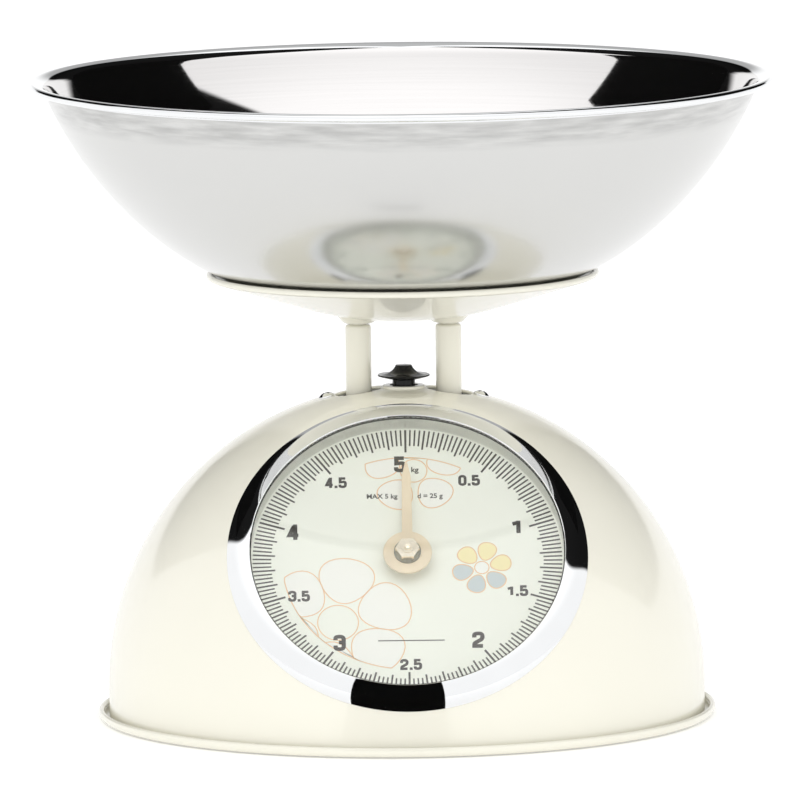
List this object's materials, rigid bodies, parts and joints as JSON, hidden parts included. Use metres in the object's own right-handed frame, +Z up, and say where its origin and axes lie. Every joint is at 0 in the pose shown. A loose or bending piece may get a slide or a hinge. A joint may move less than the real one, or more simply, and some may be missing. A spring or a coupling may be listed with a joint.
{
  "type": "kitchen scale",
  "caption": "Mechanical kitchen scale: domed painted housing with a tilted chrome-ringed dial, a dish platform on two posts and a lift-off steel bowl.",
  "frame": {"origin": "centre of the footprint on the table, under the bowl's axis", "axes": "+Z up, dial faces -Y, +X to the right of a person who reads the dial"},
  "size_m": [0.289, 0.289, 0.2497],
  "materials": {
    "cream_paint": "glossy cream enamel",
    "stainless": "spun satin outside, brighter inside",
    "chrome": "mirror chrome",
    "nickel": "satin nickel plate",
    "lens_clear": "clear moulded window",
    "dial_print": "pale satin paint with printed scale",
    "pointer_paint": "matte peach paint",
    "black_plastic": "moulded, fine satin",
    "nylon": "natural nylon",
    "rubber": "matte black rubber",
    "brass": "turned brass",
    "spring_steel": "oiled spring wire",
    "zinc_steel": "bright zinc plate"
  },
  "bodies": {
    "housing": {"housing_dome": "cream_paint", "base_tray": "cream_paint", "rubber_feet": "rubber", "base_screws": "zinc_steel", "base_brackets": "zinc_steel", "bezel_ring": "chrome", "lens": "lens_clear", "lens_gasket": "rubber", "spacer_ring": "chrome", "dial_plate": "dial_print", "dial_cup": "zinc_steel", "clamp_ring": "zinc_steel", "clamp_screws": "zinc_steel", "shaft_bracket": "brass", "bracket_screws": "zinc_steel", "front_bush": "brass", "rear_bush": "brass", "rack_guide": "nylon", "main_frame": "zinc_steel", "dome_screws": "chrome", "dome_nuts": "zinc_steel", "frame_screws": "zinc_steel", "rear_pillar": "zinc_steel", "upper_pivot_pin": "zinc_steel", "lower_pivot_pin": "zinc_steel", "knob_washer": "zinc_steel", "pivot_clips": "zinc_steel"},
    "platform": {"platter": "cream_paint", "platter_screws": "zinc_steel", "post_left": "cream_paint", "post_right": "cream_paint", "carrier": "zinc_steel", "carrier_screws": "zinc_steel", "carrier_pins": "zinc_steel", "rack": "zinc_steel", "rack_screws": "zinc_steel"},
    "bowl": {"bowl": "stainless"},
    "pointer": {"pointer_shaft": "nickel", "pinion": "brass", "pointer_needle": "pointer_paint", "pointer_washer": "nickel", "pointer_nut": "nickel", "shaft_clip": "zinc_steel"},
    "upper_lever": {"upper_lever": "zinc_steel"},
    "lower_lever": {"lower_lever": "zinc_steel"},
    "zero_knob": {"zero_knob": "black_plastic", "adjusting_screw": "zinc_steel"},
    "spring_hanger": {"spring_hanger": "zinc_steel", "main_spring": "spring_steel"}
  },
  "joints": [
    {"name": "platform_travel", "type": "slide", "parent": "housing", "child": "platform", "axis": [0, 0, -1], "range_m": [0, 0.01213], "stiffness_N_per_m": 4040, "springref_m": -0.004, "deforming": ["main_spring"]},
    {"name": "bowl_lift", "type": "slide", "parent": "platform", "child": "bowl", "axis": [0, 0, 1], "range_m": [0, 0.12]},
    {"name": "pointer_turn", "type": "hinge", "parent": "housing", "child": "pointer", "pos_m": [0, -0.06917, 0.06901], "axis": [0, 0.7771, -0.6293], "range_deg": [0, 361]},
    {"name": "upper_lever_swing", "type": "hinge", "parent": "housing", "child": "upper_lever", "pos_m": [0, 0.058, 0.08593], "axis": [1, 0, 0], "range_deg": [0, 15.4]},
    {"name": "lower_lever_swing", "type": "hinge", "parent": "housing", "child": "lower_lever", "pos_m": [0, 0.058, 0.03794], "axis": [1, 0, 0], "range_deg": [0, 15.4]},
    {"name": "hanger_travel", "type": "slide", "parent": "housing", "child": "spring_hanger", "axis": [0, 0, 1], "range_m": [-0.002, 0.002]},
    {"name": "zero_knob_turn", "type": "hinge", "parent": "housing", "child": "zero_knob", "pos_m": [0, 0, 0.132], "axis": [0, 0, 1], "range_deg": [-722, 722]}
  ],
  "couplings": [
    {"joint": "pointer_turn", "follows": "platform_travel", "rad_per_m": 518.1},
    {"joint": "upper_lever_swing", "follows": "platform_travel", "rad_per_m": 21.803},
    {"joint": "lower_lever_swing", "follows": "platform_travel", "rad_per_m": 21.803},
    {"joint": "zero_knob_turn", "follows": "hanger_travel", "rad_per_m": -6283.2}
  ]
}
